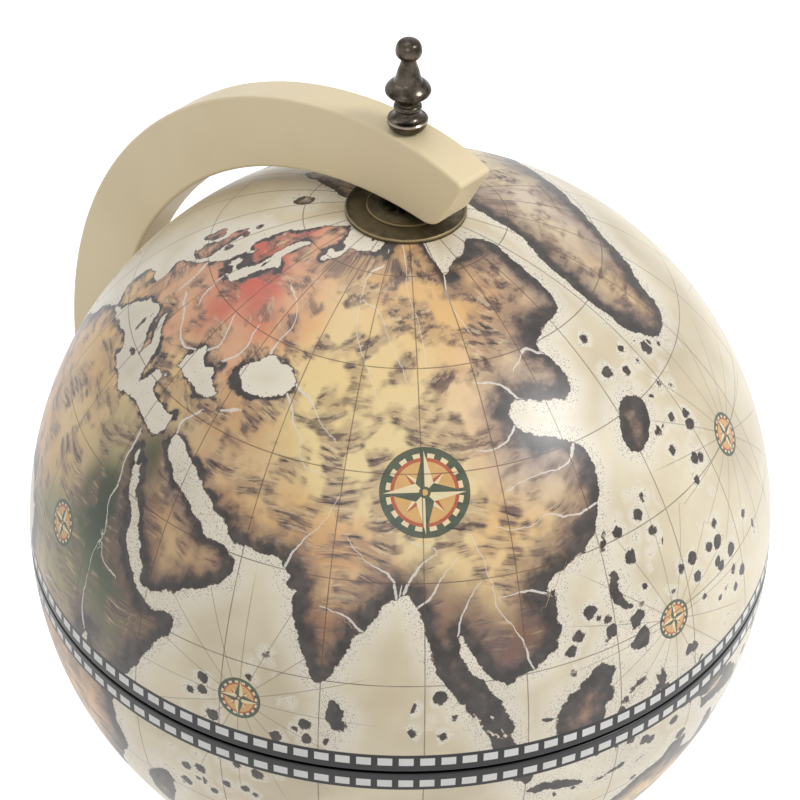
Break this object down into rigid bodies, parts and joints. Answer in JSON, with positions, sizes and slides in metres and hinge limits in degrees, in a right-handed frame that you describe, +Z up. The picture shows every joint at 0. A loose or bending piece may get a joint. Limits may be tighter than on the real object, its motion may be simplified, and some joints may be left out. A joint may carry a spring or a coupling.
{
  "type": "tabletop globe bar",
  "caption": "Hollow antique style globe on a hinged half meridian and turned base; the upper half tilts back to show a bar tray for a bottle and glasses.",
  "frame": {"origin": "on the polar axis, on the underside of the base where it rests", "axes": "+Z up along the polar axis; the arm stands on the +Y side and its nose points to -Y; +X completes a right-handed frame"},
  "size_m": [0.3299, 0.3794, 0.5247],
  "materials": {
    "arm_paint": "cream paint over turned and sawn wood, satin, slightly aged",
    "base_wood": "cream paint over turned wood, satin",
    "globe_map": "printed antique style map under satin lacquer on a moulded shell",
    "aged_bronze": "dark aged bronze, satin, rubbed lighter on its edges",
    "finial_pewter": "dark turned metal, semi-gloss",
    "blackened_steel": "blackened, matt",
    "plain_steel": "zinc plated, satin",
    "hinge_brass": "aged brass, satin",
    "collar_black": "black satin lacquer",
    "bar_wood": "stained hardwood, satin varnish",
    "thrust_nylon": "natural nylon",
    "felt_green": "wool felt"
  },
  "bodies": {
    "stand": {"base_felt": "felt_green", "base_plate": "base_wood", "pedestal": "base_wood", "pedestal_washer": "plain_steel", "pedestal_bolt": "plain_steel", "arm_insert": "hinge_brass", "lower_arm": "arm_paint", "hinge_leaf_lower": "hinge_brass", "hinge_screws_lower": "hinge_brass", "hinge_pin": "hinge_brass", "spindle": "plain_steel", "thrust_washer": "thrust_nylon", "end_washer": "plain_steel", "end_nut": "plain_steel"},
    "upper_arm": {"upper_arm": "arm_paint", "hinge_leaf_upper": "hinge_brass", "hinge_screws_upper": "hinge_brass", "arm_bush": "aged_bronze"},
    "upper_globe": {"upper_hemisphere": "globe_map", "pole_disc": "aged_bronze", "pole_boss": "aged_bronze", "toothed_washer": "blackened_steel", "pole_nut": "blackened_steel", "pole_rod": "plain_steel", "inner_boss": "bar_wood", "cap_nut": "hinge_brass", "finial_bell": "finial_pewter", "finial_urn": "finial_pewter"},
    "lower_globe": {"lower_hemisphere": "globe_map", "rim_collar": "collar_black", "south_disc": "aged_bronze", "south_boss": "aged_bronze", "south_bush": "hinge_brass", "inner_hub": "bar_wood", "ring_nut": "plain_steel", "bar_tray": "bar_wood", "glass_shelf": "bar_wood", "tray_cleats": "bar_wood", "shelf_cleats": "bar_wood", "bottle_rest": "bar_wood"}
  },
  "joints": [
    {"name": "arm_hinge", "type": "hinge", "parent": "stand", "child": "upper_arm", "pos_m": [0, 0.20542, 0.258], "axis": [-1, 0, 0], "range_deg": [0, 90]},
    {"name": "upper_spin", "type": "hinge", "parent": "upper_arm", "child": "upper_globe", "pos_m": [0, 0, 0.445], "axis": [0, 0, 1], "continuous": true},
    {"name": "lower_spin", "type": "hinge", "parent": "stand", "child": "lower_globe", "pos_m": [0, 0, 0.115], "axis": [0, 0, 1], "continuous": true}
  ]
}
